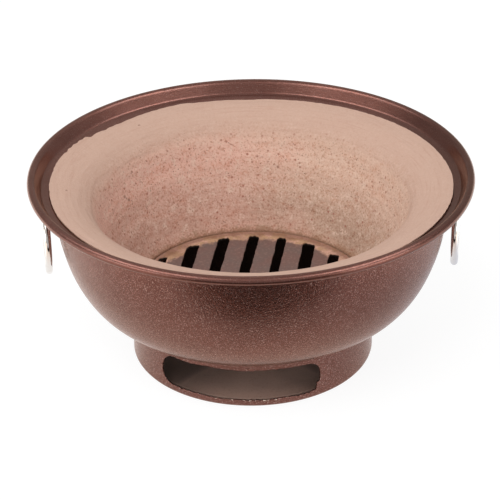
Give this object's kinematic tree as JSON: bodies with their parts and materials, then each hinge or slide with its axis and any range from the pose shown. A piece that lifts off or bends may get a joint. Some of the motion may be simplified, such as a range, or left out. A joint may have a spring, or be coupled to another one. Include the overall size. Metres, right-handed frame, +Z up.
{
  "type": "charcoal brazier",
  "caption": "Round clay-lined steel charcoal brazier on a foot ring with an ash vent, a loose slotted grate and hanging ring handles.",
  "frame": {"origin": "on the ground under the middle of the bowl", "axes": "+Z up, +X through the right ring handle, the ash vent faces -Y"},
  "size_m": [0.33, 0.33, 0.15],
  "materials": {
    "hammered_paint": "copper-brown hammered enamel, semi-gloss",
    "foot_paint": "copper-brown hammered enamel, semi-gloss, bare specks along the cut vent",
    "tray_paint": "dull brown enamel, dusty",
    "fired_clay": "unglazed fired clay, matt, with pores and red specks",
    "grate_steel": "dusty brown plate with clay slip along its border",
    "chrome": "bright plating",
    "zinc": "zinc plated"
  },
  "bodies": {
    "brazier": {"bowl_shell": "hammered_paint", "clay_liner": "fired_clay", "foot_ring": "foot_paint", "ash_floor": "tray_paint", "eye_bolt_left": "chrome", "eye_nut_left": "zinc", "eye_bolt_right": "chrome", "eye_nut_right": "zinc"},
    "loose_grate": {"grate": "grate_steel"},
    "left_ring": {"ring_handle_left": "chrome"},
    "right_ring": {"ring_handle_right": "chrome"}
  },
  "joints": [
    {"name": "grate_lift", "type": "slide", "parent": "brazier", "child": "loose_grate", "axis": [0, 0, 1], "range_m": [0, 0.12]},
    {"name": "left_ring_swing", "type": "hinge", "parent": "brazier", "child": "left_ring", "pos_m": [-0.15403, 0, 0.12535], "axis": [-0.1201, 0.9928, 0], "range_deg": [-12, 125]},
    {"name": "right_ring_swing", "type": "hinge", "parent": "brazier", "child": "right_ring", "pos_m": [0.15403, 0, 0.12535], "axis": [-0.1582, -0.9874, 0], "range_deg": [-12, 125]}
  ]
}
